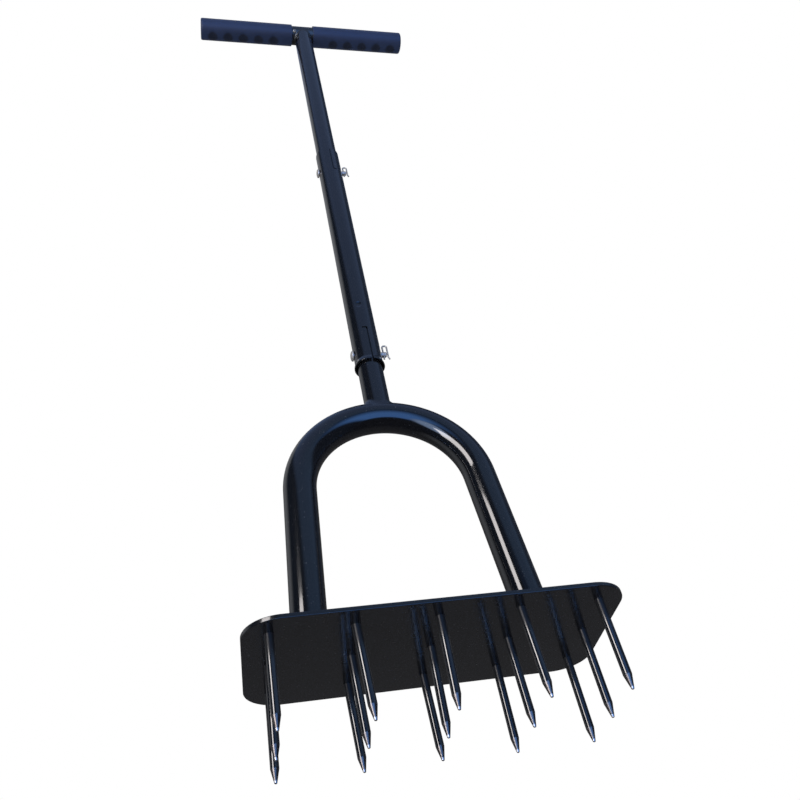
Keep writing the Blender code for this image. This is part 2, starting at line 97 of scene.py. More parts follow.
# Pole
STEM_RADIUS = 0.0127
STEM_WALL = 0.0015
NECK_TOP = 0.458
MIDDLE_RADIUS = 0.0143
MIDDLE_WALL = 0.0013
MIDDLE_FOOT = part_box("middle_tube")[0].z
MIDDLE_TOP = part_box("middle_tube")[1].z
FLARE_RADIUS = 0.0156
FLARE_HEIGHT = 0.0055
FLARE_RIM = 0.0016
FLARE_BEND = 0.0012
FLARE_EASE = 0.0008
STEM_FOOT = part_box("upper_stem")[0].z
SLIT_WIDTH = 0.0018
SLIT_LENGTH = 0.0455
SLIT_TURN = 8.0
NOTCH_WIDTH = 0.0055
NOTCH_HEIGHT = 0.0017
DIMPLE_HEIGHT = 0.4627
DIMPLE_TURN = -7.0
DIMPLE_RADIUS = 0.012
DIMPLE_DEPTH = 0.0009

# T-handle
HANDLE_HEIGHT = 1.0965
HANDLE_TURN = 2.5
BAR_HALF = 0.1525
BAR_RADIUS = 0.0136
BAR_WALL = 0.0015
GRIP_RADIUS = 0.0155
GRIP_END = 0.003
GRIP_ROUND = 0.0026
GRIP_LIP = 0.0008
GRIP_STEP = 0.0008
GRIP_SKIN = 0.0005
LEFT_GRIP_INNER = 0.0172
RIGHT_GRIP_INNER = 0.0148
FINGERS = 5
FINGER_PITCH = 0.0225
FINGER_RADIUS = 0.014
FIRST_FINGER = 0.017
FINGER_BLEND = 0.0003
# Radius of the painted shade in a finger groove, and how far behind the crossbar's line its middle lies
GROOVE_SHADE_REACH = 0.0088
GROOVE_SHADE_ASIDE = 0.0038
SCREW_FROM_POLE = 0.0138
SCREW_BELOW_LEVEL = 37.0
SCREW_HEAD_RADIUS = 0.0026
SCREW_HEAD_HEIGHT = 0.0018
SCREW_SHANK_RADIUS = 0.0016
SCREW_LENGTH = 0.009
SCREW_DOME_RADIUS = SCREW_HEAD_RADIUS * 0.62
SCREW_DOME_HEIGHT = SCREW_HEAD_HEIGHT * 0.96
SCREW_RIM_HEIGHT = SCREW_HEAD_HEIGHT * 0.42
SCREW_RIM_ROUND = 0.0005
SCREW_SEAT_ROUND = 0.0001
SCREW_ROUND = 0.0004
CROSS_REACH = 0.0014
CROSS_HALF = 0.0003
CROSS_DEPTH = 0.0009
CROSS_ABOVE = 0.001

# Lock pins and hairpin clips
PIN_HEIGHTS = {"lower": 0.3992, "upper": 0.7265}
PIN_RADIUS = 0.003
PIN_TIP = 0.0201
PIN_CHAMFER = 0.0009
PIN_ROUND = 0.0002
PIN_HEAD_RADIUS = 0.0055
PIN_HEAD_RIM = 0.0010
PIN_HEAD_HEIGHT = 0.0030
CLIP_PLANE = 0.0169
CLIP_WIRE = 0.0009
CLIP_PLAY = 0.0005
CLIP_LOOP_CENTRE = 0.0105
CLIP_FOOT = -0.0062
CLIP_FLARE = 0.0010
GAP = 0.0003

# Welds round the tubes: points round and across a bead, how hollow it is and how deep it is bedded
LEG_WELD_SIDES = 280
POLE_WELD_SIDES = 240
BEAD_STEPS = 10
BEAD_HOLLOW = 0.55
BEAD_BED = 0.0006
BEAD_SINK = 0.0002
# How far out to the front and back the beads on the bow and under the crossbar reach
NECK_BEAD_REACH = BOW_RADIUS * 0.96
BAR_BEAD_REACH = BAR_RADIUS * 0.985

# Rounding of a tube's sawn edges, and how far a cutter runs past what it cuts
EDGE = 0.0003
OVERCUT = 0.002

# Camera, found from the photograph
CAMERA_PLACE = (-0.1437, -0.6379, -0.2330)
CAMERA_RIGHT = (0.9775, -0.1168, -0.1756)
CAMERA_FORWARD = (0.204, 0.7343, 0.6475)
CAMERA_SHIFT = (-0.0139, 0.0052)
SENSOR_WIDTH = 36.0
PICTURE_WIDTH = 800
FOCAL_LENGTH_IN_PIXELS = 881.24

# Studio. Each lamp has a place, a point that it faces, its width, height, radiance and tint
FLOOR_RADIUS = 6
FLOOR_DROP = 0.0005
TOOL_MIDDLE = (0, 0, 0.5)
SOFT_LAMPS = {
    "key": ((-1.6, -1.9, 2.6), TOOL_MIDDLE, 1.6, 1.6, 2.4, (1.0, 0.98, 0.95)),
    "fill": ((2.2, -1.2, 1.4), TOOL_MIDDLE, 1.8, 1.8, 0.7, (0.92, 0.96, 1.0)),
    "back": ((0.6, 2.4, 2.0), TOOL_MIDDLE, 1.8, 1.2, 0.9, (1.0, 1.0, 1.0)),
    "below": ((-0.4, -1.8, -0.9), (0, 0, 0.2), 1.6, 1.2, 0.3, (1.0, 1.0, 1.0)),
}
WINDOW_LAMP = ((-1.60, -1.65, 0.51), (0, 0, 0.51), 0.92, 1.92, 7.2, (1.0, 0.95, 0.94))


def metres(name, description, default):
    """A size in metres for a property group."""
    return FloatProperty(name=name, description=description, default=default, unit="LENGTH")


def tone(name, description, default):
    """A colour for a property group."""
    return FloatVectorProperty(name=name, description=description, default=default,
                               subtype="COLOR", min=0, max=1)


class AeratorSizes(bpy.types.PropertyGroup):
    """Sizes that a maker of this tool would change."""

    plate_round: metres("Plate edge", "Rounding of the plate's edges", 0.0005)
    spike_radius: metres("Spike radius", "Radius of a spike's shaft", 0.0035)
    spike_cone: metres("Spike cone", "Length of a spike's point", 0.0115)
    point_radius: metres("Point radius", "Radius of the blunt end of a spike", 0.0012)
    spike_weld: metres("Spike weld", "Radius of the weld over a spike's top end", 0.006)
    leg_weld: metres("Leg weld", "Width of the bead round a leg of the bow", 0.0042)
    neck_weld: metres("Neck weld", "Width of the bead under the pole", 0.0042)
    bar_weld: metres("Crossbar weld", "Width of the bead under the crossbar", 0.0018)
    ripple: metres("Weld ripple", "Depth of the ripples in a bead", 0.00022)
    ripples: IntProperty(name="Ripples", description="Ripples in the bead round a tube", default=46, min=8)
    finger_depth: metres("Finger depth", "Depth of the grips' finger grooves", 0.0012)


class AeratorFinishes(bpy.types.PropertyGroup):
    """Colours of the finishes and of the studio's floor."""

    paint: tone("Enamel", "Colour of the stove enamel", (0.0052, 0.0055, 0.0070))
    rubber: tone("Rubber", "Colour of the moulded grips", (0.009, 0.026, 0.084))
    zinc: tone("Zinc", "Colour of the plated pins, clips and screw", (0.74, 0.72, 0.70))
    rubbed: tone("Rubbed enamel", "Colour of the spikes' cones", (0.165, 0.145, 0.135))
    bare_steel: tone("Bare steel", "Colour where the enamel is worn off", (0.62, 0.62, 0.63))
    floor: tone("Floor", "Colour of the studio's floor", (0.86, 0.86, 0.86))


class Socket:
    """An output of a node. Sums on it add the Math nodes that work them out."""

    def __init__(self, nodes, socket):
        self.nodes = nodes
        self.socket = socket

    def maths(self, operation, *terms):
        """A Math node on these terms."""
        return self.nodes.add("ShaderNodeMath", {"operation": operation}, dict(enumerate(terms)))

    def __add__(self, other):
        return self.maths("ADD", self, other)

    def __sub__(self, other):
        return self.maths("SUBTRACT", self, other)

    def __rsub__(self, other):
        return self.maths("SUBTRACT", other, self)

    def __mul__(self, other):
        return self.maths("MULTIPLY", self, other)

    def __truediv__(self, other):
        return self.maths("DIVIDE", self, other)

    __radd__ = __add__
    __rmul__ = __mul__


class Nodes:
    """A node tree written as Python calls."""

    def __init__(self, tree):
        self.tree = tree

    def add(self, kind, settings=None, values=None, output=0):
        """Adds a node, with its settings first, and returns one of its outputs."""
        node = self.tree.nodes.new(kind)
        for name, setting in (settings or {}).items():
            setattr(node, name, setting)
        for name, value in (values or {}).items():
            if isinstance(value, Socket):
                self.tree.links.new(value.socket, node.inputs[name])
            else:
                node.inputs[name].default_value = value
        return Socket(self, node.outputs[output]) if node.outputs else node

    def join(self, pieces):
        """Joins geometry."""
        joint = self.tree.nodes.new("GeometryNodeJoinGeometry")
        for piece in pieces:
            self.tree.links.new(piece.socket, joint.inputs[0])
        return Socket(self, joint.outputs[0])

    def part(self, vector, axis):
        """The X, Y or Z of a vector."""
        return self.add("ShaderNodeSeparateXYZ", values={"Vector": vector}, output=axis)

    def bump(self, height, distance):
        """A normal that a height disturbs."""
        return self.add("ShaderNodeBump", values={"Strength": 1.0, "Distance": distance, "Height": height})

    def noise(self, where, scale, detail=2.0, rough=0.5):
        """Soft noise from 0 to 1 with features of about 1 / scale metres."""
        return self.add("ShaderNodeTexNoise", {"noise_dimensions": "3D"},
                        {"Vector": where, "Scale": scale, "Detail": detail, "Roughness": rough})

    def step(self, value, low, high):
        """0 below low, 1 above high, and smooth in between."""
        return self.add("ShaderNodeMapRange", {"interpolation_type": "SMOOTHSTEP"},
                        {"Value": value, "From Min": low, "From Max": high})

    def tint(self, factor, first, second):
        """Mixes two colours by a factor from 0 to 1."""
        return self.add("ShaderNodeMix", {"data_type": "RGBA"},
                        {0: factor, 6: colour(first), 7: colour(second)}, output=2)


def colour(value):
    """A colour as a socket takes it."""
    return value if isinstance(value, Socket) else (*value[:3], 1.0)


def shade_of(base, share):
    """A colour made lighter or darker by a share of itself."""
    return [channel * share for channel in base]


def new_finish(name):
    """An empty material and its Object coordinates."""
    material = bpy.data.materials.new(name)
    material.use_nodes = True
    material.node_tree.nodes.clear()
    nodes = Nodes(material.node_tree)
    return material, nodes, nodes.add("ShaderNodeTexCoord", output="Object")


def close_finish(nodes, values):
    """Ends a material with a Principled shader."""
    shader = nodes.add("ShaderNodeBsdfPrincipled", values=values)
    nodes.add("ShaderNodeOutputMaterial", values={"Surface": shader})


def enamel(name, gloss_roughness, peel_share=1.0, gloss_index=1.5, cone=None):
    """Glossy near-black stove enamel with orange peel and dust.

    On spikes, whose cones have this height, it is rubbed thin on the cones and dull towards the plate.
    """
    looks = bpy.context.scene.aerator_finishes
    material, nodes, where = new_finish(name)
    peel = nodes.noise(where, 420, 1.0)
    grain = nodes.noise(where, 2600, 1.0)
    swell = nodes.noise(where, 22, 1.0)
    cloud = nodes.noise(where, 60, 3.0)
    dust = nodes.step(nodes.noise(where, 700, 0.0), 0.79, 0.84)

    base = nodes.tint(cloud, shade_of(looks.paint, 0.75), shade_of(looks.paint, 1.3))
    base = nodes.tint(dust * 0.2, base, (0.16, 0.16, 0.17))
    roughness = gloss_roughness * 2 + cloud * 0.05 + dust * 0.3
    metallic = 0.0
    coat = 1.0
    height = (peel * 0.3 + grain * 0.06 + swell * 4.0) * peel_share
    if cone is not None:
        level = nodes.part(where, "Z")
        ragged = level + nodes.noise(where, 1500, 3.0) * 0.0014
        thin = 1 - nodes.step(level, cone * 0.94, cone)
        worn = 1 - nodes.step(ragged, BARE_POINT, BARE_POINT + 0.0006)
        dull = nodes.step(level, DULL_FROM, DULL_ABOVE)
        base = nodes.tint(worn, nodes.tint(thin, base, looks.rubbed), looks.bare_steel)
        roughness = roughness + worn * 0.10 + dull * 0.3 + thin * 0.22
        metallic = thin
        coat = (1 - dull) * (1 - thin * 0.7)
        height = height - worn * 1.2
    close_finish(nodes, {"Base Color": base, "Roughness": roughness, "Metallic": metallic,
                         "Normal": nodes.bump(height, 0.00002),
                         "Coat Weight": coat, "Coat Roughness": gloss_roughness, "Coat IOR": gloss_index})
    return material


def moulded_rubber(name):
    """Matte moulded rubber with a fine even grain, faint scuffs and painted shade in the finger grooves."""
    looks = bpy.context.scene.aerator_finishes
    material, nodes, where = new_finish(name)
    grain = nodes.noise(where, 1800, 2.0)
    cloud = nodes.noise(where, 45, 3.0)
    scuff = nodes.step(nodes.noise(where, 160, 4.0, 0.7), 0.6, 0.75)
    base = nodes.tint(cloud, shade_of(looks.rubber, 0.8), shade_of(looks.rubber, 1.25))
    base = nodes.tint(scuff * 0.25, base, shade_of(looks.rubber, 2.2))
    # The grooves are counted from the grips' outer ends, along the turned crossbar
    x, y, z = (nodes.part(where, axis) for axis in "XYZ")
    out = x.maths("ABSOLUTE", x)
    count = (BAR_HALF - FIRST_FINGER - out) / FINGER_PITCH
    along = (out.maths("FRACT", count + 0.5) - 0.5) * FINGER_PITCH
    aside = y - x * math.tan(math.radians(HANDLE_TURN)) - GROOVE_SHADE_ASIDE
    reach = out.maths("SQRT", along * along + aside * aside)
    counted = nodes.step(count, -0.6, -0.5) * (1 - nodes.step(count, FINGERS - 0.6, FINGERS - 0.5))
    below = nodes.step(HANDLE_HEIGHT - z, 0, 0.002)
    # Painted shade: the floors of the finger grooves underneath are darkened, standing in for the shade in
    # these recesses
    groove_shade = (1 - nodes.step(reach, GROOVE_SHADE_REACH * 0.6, GROOVE_SHADE_REACH)) * counted * below
    base = nodes.tint(groove_shade * 0.75, base, shade_of(looks.rubber, 0.2))
    close_finish(nodes, {"Base Color": base, "Roughness": 0.5 + cloud * 0.1 + scuff * 0.08,
                         "Normal": nodes.bump(grain, 0.00005),
                         "Sheen Weight": 0.15, "Sheen Roughness": 0.4})
    return material


def zinc_plating(name, dullness, share):
    """Zinc plate over turned and drawn steel, a little clouded, at a share of its full brightness."""
    zinc = shade_of(bpy.context.scene.aerator_finishes.zinc, share)
    material, nodes, where = new_finish(name)
    cloud = nodes.noise(where, 260, 3.0)
    pits = nodes.noise(where, 2400, 2.0)
    warm = [zinc[0], zinc[1] * 0.96, zinc[2] * 0.88]
    base = nodes.tint(nodes.step(cloud, 0.4, 0.7), zinc, warm)
    close_finish(nodes, {"Base Color": base, "Roughness": dullness + cloud * 0.2, "Metallic": 0.6,
                         "Normal": nodes.bump(pits + cloud, 0.00002)})
    return material


def finish_named(name):
    """Makes a finish the first time that it is asked for."""
    made = bpy.data.materials.get(name)
    if made:
        return made
    spike_cone = bpy.context.scene.aerator_sizes.spike_cone
    maker, given = {
        "stove_enamel": (enamel, {"gloss_roughness": 0.05, "peel_share": 0.7}),
        "plate_enamel": (enamel, {"gloss_roughness": 0.09, "peel_share": 0.4}),
        "bar_enamel": (enamel, {"gloss_roughness": 0.28}),
        "spike_enamel": (enamel, {"gloss_roughness": 0.05, "peel_share": 0.4, "gloss_index": 1.7,
                                  "cone": spike_cone}),
        "moulded_rubber": (moulded_rubber, {}),
        "zinc_plating": (zinc_plating, {"dullness": 0.42, "share": 0.75}),
        "screw_zinc": (zinc_plating, {"dullness": 0.45, "share": 0.5}),
    }[name]
    return maker(name, **given)


def temporary(name, mesh):
    """An object that only holds a mesh while it is worked on."""
    obj = bpy.data.objects.new(name, mesh)
    bpy.context.scene.collection.objects.link(obj)
    return obj


def taken(obj):
    """The mesh that an object's modifiers make. The object itself goes."""
    bpy.context.view_layer.update()
    evaluated = obj.evaluated_get(bpy.context.evaluated_depsgraph_get())
    mesh = bpy.data.meshes.new_from_object(evaluated)
    bpy.data.objects.remove(obj)
    return mesh


def written(work, mesh):
    """Writes finished work into a mesh."""
    work.to_mesh(mesh)
    work.free()
    return mesh


def shaded(mesh, sharp=20.0, even=True):
    """Shades a mesh smooth between its hard edges, with large faces deciding the normals."""
    mesh.shade_smooth()
    mesh.set_sharp_from_angle(angle=math.radians(sharp))
    if not even:
        return mesh
    obj = temporary(mesh.name, mesh)
    modifier = obj.modifiers.new("Even normals", "WEIGHTED_NORMAL")
    modifier.keep_sharp = True
    modifier.weight = 80
    return taken(obj)


def show(name, mesh, finish, nodes, body="root"):
    """Puts a finished mesh in the scene, for the CAD nodes that it stands for."""
    obj = bpy.data.objects.new(name, mesh)
    bpy.context.scene.collection.objects.link(obj)
    mesh.materials.clear()
    mesh.materials.append(finish_named(finish))
    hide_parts(*nodes)
    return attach(obj, body)


def turns(count):
    """Evenly spaced angles round a circle."""
    return [2 * math.pi * i / count for i in range(count)]


def rounded(corners, steps=6):
    """Rounds a profile. Each corner is (radius, height, how far from it its arc starts)."""
    points = []
    for i, (radius, height, reach) in enumerate(corners):
        here = Vector((radius, height))
        if not reach:
            points.append(here)
            continue
        start = here + (Vector(corners[i - 1][:2]) - here).normalized() * reach
        end = here + (Vector(corners[(i + 1) % len(corners)][:2]) - here).normalized() * reach
        for t in (k / steps for k in range(steps + 1)):
            points.append(start * (1 - t) ** 2 + here * 2 * t * (1 - t) + end * t ** 2)
    return points


def divided(points, longest):
    """Adds points to a profile so that no stretch of it is longer than this."""
    result = []
    for here, after in zip(points, points[1:]):
        count = max(1, math.ceil((after - here).length / longest))
        result += [here.lerp(after, k / count) for k in range(count)]
    return [*result, points[-1]]


def turned(name, profile, sides=TUBE_SIDES, place=None):
    """Turns (radius, height) points about +Z into a closed skin, then puts it in its place."""
    work = bmesh.new()
    rings = []
    for radius, height in profile:
        around = turns(sides) if radius > 0 else [0.0]
        rings.append([work.verts.new((radius * math.cos(a), radius * math.sin(a), height)) for a in around])
    pairs = list(zip(rings, rings[1:]))
    if profile[0][0] > 0:
        pairs.append((rings[-1], rings[0]))
    for above, below in pairs:
        for i in range(sides):
            j = (i + 1) % sides
            corners = [above[i % len(above)], above[j % len(above)]]
            corners += [below[j % len(below)], below[i % len(below)]]
            work.faces.new(list(dict.fromkeys(corners)))
    bmesh.ops.recalc_face_normals(work, faces=work.faces)
    bmesh.ops.transform(work, verts=work.verts, matrix=place or Matrix.Identity(4))
    return written(work, bpy.data.meshes.new(name))


def slab(low, high, place):
    """A box between two corners, turned to its place, for cutting."""
    low, high = Vector(low), Vector(high)
    work = bmesh.new()
    bmesh.ops.create_cube(work, size=1.0)
    fit = Matrix.Translation((low + high) / 2) @ Matrix.Diagonal((*(high - low), 1))
    bmesh.ops.transform(work, verts=work.verts, matrix=place @ fit)
    return written(work, bpy.data.meshes.new("slab"))


def rod(radius, start, end):
    """A round bar between two points, for cutting."""
    start, end = Vector(start), Vector(end)
    reach = (end - start).length / 2
    turn = (end - start).to_track_quat("Z", "Y").to_matrix().to_4x4()
    place = Matrix.Translation((start + end) / 2) @ turn
    return turned("rod", [(0, reach), (radius, reach), (radius, -reach), (0, -reach)], SMALL_SIDES, place)


def carved(mesh, cutters):
    """Cuts closed meshes out of a mesh."""
    obj = temporary(mesh.name, mesh)
    tools = [temporary("cutter", cutter) for cutter in cutters]
    for tool in tools:
        modifier = obj.modifiers.new("Cut", "BOOLEAN")
        modifier.object = tool
    result = taken(obj)
    for tool in tools:
        bpy.data.objects.remove(tool)
    return result


def tube_profile(radius, wall, bottom, top):
    """The profile of a plain tube with eased edges, to be turned."""
    inner = radius - wall
    return rounded([(radius, top, EDGE), (radius, bottom, EDGE), (inner, bottom, EDGE), (inner, top, EDGE)])


def line_mesh(name, points):
    """A line of points as a mesh, for a tree to grow a piece along."""
    mesh = bpy.data.meshes.new(name)
    mesh.from_pydata(points, [(i, i + 1) for i in range(len(points) - 1)], [])
    return mesh


def new_recipe(name, inputs):
    """A Geometry Nodes tree with named inputs, and each input's socket."""
    tree = bpy.data.node_groups.new(name, "GeometryNodeTree")
    kinds = {"Geometry": "NodeSocketGeometry", "Sides": "NodeSocketInt", "Seed": "NodeSocketInt",
             "Finish": "NodeSocketMaterial"}
    labels = ["Geometry", *inputs, "Finish"]
    for label in labels:
        tree.interface.new_socket(label, in_out="INPUT", socket_type=kinds.get(label, "NodeSocketFloat"))
    tree.interface.new_socket("Geometry", in_out="OUTPUT", socket_type="NodeSocketGeometry")
    nodes = Nodes(tree)
    source = tree.nodes.new("NodeGroupInput")
    return nodes, {label: Socket(nodes, source.outputs[label]) for label in labels}


def close_recipe(nodes, geometry, finish):
    """Ends a tree with real geometry that holds its material."""
    real = nodes.add("GeometryNodeRealizeInstances", values={"Geometry": geometry})
    painted = nodes.add("GeometryNodeSetMaterial", values={"Geometry": real, "Material": finish})
    nodes.add("NodeGroupOutput", values={"Geometry": painted})
    return nodes.tree


def grown(tree, base, values):
    """Runs a Geometry Nodes tree on a mesh and returns the plain mesh that it makes."""
    obj = temporary(base.name, base)
    modifier = obj.modifiers.new(tree.name, "NODES")
    modifier.node_group = tree
    for item in tree.interface.items_tree:
        if item.in_out == "INPUT" and item.name in values:
            modifier[item.identifier] = values[item.name]
    return taken(obj)


def bent_tube_recipe():
    """A round tube or wire along the object's own line."""
    nodes, given = new_recipe("bent_tube", ["Radius", "Sides"])
    line = nodes.add("GeometryNodeMeshToCurve", values={"Mesh": given["Geometry"]})
    ring = nodes.add("GeometryNodeCurvePrimitiveCircle",
                     values={"Resolution": given["Sides"], "Radius": given["Radius"]})
    skin = nodes.add("GeometryNodeCurveToMesh",
                     values={"Curve": line, "Profile Curve": ring, "Fill Caps": True})
    return close_recipe(nodes, skin, given["Finish"])


def spike_recipe():
    """A pointed spike below each point of the object, leaning as the point's own angle says."""
    labels = ["Reach", "Top", "Radius", "Cone", "Point Radius", "Point Round", "Sides"]
    nodes, given = new_recipe("spike_rows", labels)
    reach, top, radius, cone, point_radius, blunt, sides = (given[label] for label in labels)

    def lifted(geometry, height, stretch=1.0):
        """Puts geometry at a height and stretches it upwards."""
        offset = nodes.add("ShaderNodeCombineXYZ", values={"Z": height})
        scale = nodes.add("ShaderNodeCombineXYZ", values={"X": 1.0, "Y": 1.0, "Z": stretch})
        return nodes.add("GeometryNodeTransform",
                         values={"Geometry": geometry, "Translation": offset, "Scale": scale})

    shaft_length = reach + top - cone
    shaft = nodes.add("GeometryNodeMeshCylinder", {"fill_type": "NONE"},
                      {"Vertices": sides, "Radius": radius, "Depth": shaft_length}, output="Mesh")
    point = nodes.add("GeometryNodeMeshCone", {"fill_type": "NONE"},
                      {"Vertices": sides, "Radius Top": radius, "Radius Bottom": point_radius,
                       "Depth": cone - blunt}, output="Mesh")
    ball = nodes.add("GeometryNodeMeshUVSphere",
                     values={"Segments": sides, "Rings": 12, "Radius": point_radius}, output="Mesh")
    height = nodes.part(nodes.add("GeometryNodeInputPosition"), "Z")
    upper = nodes.add("FunctionNodeCompare", {"data_type": "FLOAT", "operation": "GREATER_THAN"},
                      {"A": height, "B": HAIR})
    tip = nodes.add("GeometryNodeDeleteGeometry", values={"Geometry": ball, "Selection": upper})
    lid = nodes.add("GeometryNodeMeshCircle", {"fill_type": "NGON"}, {"Vertices": sides, "Radius": radius})
    whole = nodes.join([lifted(shaft, top - shaft_length * 0.5), lifted(point, blunt - reach),
                        lifted(tip, blunt - reach, blunt / point_radius), lifted(lid, top)])
    welded = nodes.add("GeometryNodeMergeByDistance", values={"Geometry": whole, "Distance": SEAM})

    # The shoulder over the cone and the rim of the lid stay crisp
    def at_height(level):
        return nodes.add("FunctionNodeCompare", {"data_type": "FLOAT", "operation": "EQUAL"},
                         {"A": height, "B": level, "Epsilon": HAIR})

    crease = nodes.add("FunctionNodeBooleanMath", {"operation": "OR"},
                       {0: at_height(cone - reach), 1: at_height(top)})
    creased = nodes.add("GeometryNodeStoreNamedAttribute", {"data_type": "BOOLEAN", "domain": "EDGE"},
                        {"Geometry": welded, "Name": "sharp_edge", "Value": crease})
    lean = nodes.add("GeometryNodeInputNamedAttribute", {"data_type": "FLOAT_VECTOR"}, {"Name": "lean"})
    rows = nodes.add("GeometryNodeInstanceOnPoints",
                     values={"Points": given["Geometry"], "Instance": creased, "Rotation": lean})
    return close_recipe(nodes, rows, given["Finish"])


def spike_weld_recipe():
    """A lumpy round weld on each point of the object."""
    nodes, given = new_recipe("spike_welds", ["Radius", "Height", "Lumps", "Seed"])
    ball = nodes.add("GeometryNodeMeshUVSphere",
                     values={"Segments": 28, "Rings": 14, "Radius": 1.0}, output="Mesh")
    size = nodes.add("ShaderNodeCombineXYZ",
                     values={"X": given["Radius"], "Y": given["Radius"], "Z": given["Height"]})
    # Each weld is tilted a little and turned at random
    turn = nodes.add("FunctionNodeRandomValue", {"data_type": "FLOAT_VECTOR"},
                     {"Max": (0.08, 0.08, 6.28), "Seed": given["Seed"]})
    rows = nodes.add("GeometryNodeInstanceOnPoints",
                     values={"Points": given["Geometry"], "Instance": ball, "Scale": size,
                             "Rotation": turn})
    real = nodes.add("GeometryNodeRealizeInstances", values={"Geometry": rows})
    place = nodes.add("GeometryNodeInputPosition")
    lump = nodes.noise(place, 330, 2.0) - 0.5
    along = nodes.add("ShaderNodeVectorMath", {"operation": "SCALE"},
                      {0: nodes.add("GeometryNodeInputNormal"), "Scale": lump * given["Lumps"]})
    lumpy = nodes.add("GeometryNodeSetPosition", values={"Geometry": real, "Offset": along})
    return close_recipe(nodes, lumpy, given["Finish"])


def spike_places():
    """Each spike's column, row and place on the plate, from the welds over the spikes."""
    for column in range(COLUMNS):
        for row in range(ROWS):
            low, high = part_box(f"spike_weld_{column + 1}_{row + 1}")
            yield column, row, (low + high) / 2


def spike_nodes(prefix):
    """The CAD nodes of the fifteen spikes, or of their welds."""
    return [f"{prefix}_{column + 1}_{row + 1}" for column in range(COLUMNS) for row in range(ROWS)]


def outline_spline(curve, points):
    """Adds a closed outline to a flat curve."""
    spline = curve.splines.new("POLY")
    spline.points.add(len(points) - 1)
    for point, (x, y) in zip(spline.points, points):
        point.co = (x, y, 0, 1)
    spline.use_cyclic_u = True


def plate_outline(steps=20):
    """The plate's edge, with round corners."""
    points = []
    for quarter, (x, y) in enumerate(((PLATE_HIGH.x, PLATE_HIGH.y), (PLATE_LOW.x, PLATE_HIGH.y),
                                      (PLATE_LOW.x, PLATE_LOW.y), (PLATE_HIGH.x, PLATE_LOW.y))):
        centre_x = x - math.copysign(PLATE_CORNER, x)
        centre_y = y - math.copysign(PLATE_CORNER, y)
        for k in range(steps + 1):
            a = math.pi / 2 * (quarter + k / steps)
            points.append((centre_x + PLATE_CORNER * math.cos(a), centre_y + PLATE_CORNER * math.sin(a)))
    return points


def plate_mesh(edge):
    """The flat plate with rounded edges, drilled for its spikes."""
    curve = bpy.data.curves.new("pressed_plate", "CURVE")
    curve.dimensions = "2D"
    curve.fill_mode = "BOTH"
    curve.extrude = (PLATE_HIGH.z - PLATE_LOW.z) / 2 - edge
    curve.bevel_depth = edge
    curve.bevel_resolution = 3
    curve.offset = -edge
    outline_spline(curve, plate_outline())
    for _, _, place in spike_places():
        hole = [(place.x + SPIKE_HOLE_RADIUS * math.cos(a), place.y + SPIKE_HOLE_RADIUS * math.sin(a))
                for a in turns(SPIKE_HOLE_SIDES)]
        outline_spline(curve, hole[::-1])
    mesh = taken(temporary("pressed_plate", curve))
    mesh.transform(Matrix.Translation((0, 0, PLATE_MIDDLE)))
    work = bmesh.new()
    work.from_mesh(mesh)
    bmesh.ops.remove_doubles(work, verts=work.verts, dist=SEAM)
    return shaded(written(work, mesh), 35.0)


def arch_point(angle):
    """A point on the centre line of the bow's arch."""
    return Vector((ARCH_CENTRE_X + ARCH_RADIUS * math.cos(angle), 0,
                   ARCH_CENTRE_Z + ARCH_RADIUS * math.sin(angle)))


def bow_line(foot_height):
    """The bow's centre line from its left foot to its right foot, with short even stretches."""
    left, right = math.radians(LEFT_SPLAY), math.radians(RIGHT_SPLAY)
    start, end = math.pi - left, right
    arch = [arch_point(start + (end - start) * i / ARCH_STEPS) for i in range(ARCH_STEPS + 1)]
    left_foot = Vector((arch[0].x - (arch[0].z - foot_height) * math.tan(left), 0, foot_height))
    right_foot = Vector((arch[-1].x + (arch[-1].z - foot_height) * math.tan(right), 0, foot_height))
    left_leg = [left_foot.lerp(arch[0], k / LEG_STEPS) for k in range(LEG_STEPS)]
    right_leg = [arch[-1].lerp(right_foot, k / LEG_STEPS) for k in range(1, LEG_STEPS + 1)]
    return left_leg + arch + right_leg


def fillet_weld(name, high, corner, low, ripples, depth):
    """A hollow bead between two rings of points, with the ripples that its making left."""
    count = len(corner)
    points, faces = [], []
    for i in range(count):
        bed = corner[i]
        middle = (high[i] + low[i]) / 2
        out = (middle - bed).normalized()
        pull = middle.lerp(bed, BEAD_HOLLOW)
        around = 2 * math.pi * i / count
        for k in range(BEAD_STEPS + 1):
            t = k / BEAD_STEPS
            # The ripples curl as they cross the bead, and their spacing wavers
            swell = math.sin(math.pi * t)
            ripple = depth * swell * math.sin(ripples * around + 2.4 * swell + 0.6 * math.sin(5 * around))
            bead = high[i] * (1 - t) ** 2 + pull * 2 * t * (1 - t) + low[i] * t ** 2
            points.append(bead + out * ripple)
        points.append(bed - out * BEAD_BED)
    row = BEAD_STEPS + 2
    for i in range(count):
        for k in range(row):
            here, after = i * row, (i + 1) % count * row
            faces.append((here + k, here + (k + 1) % row, after + (k + 1) % row, after + k))
    mesh = bpy.data.meshes.new(name)
    mesh.from_pydata(points, [], faces)
    work = bmesh.new()
    work.from_mesh(mesh)
    bmesh.ops.recalc_face_normals(work, faces=work.faces)
    return shaded(written(work, mesh), 60.0, even=False)


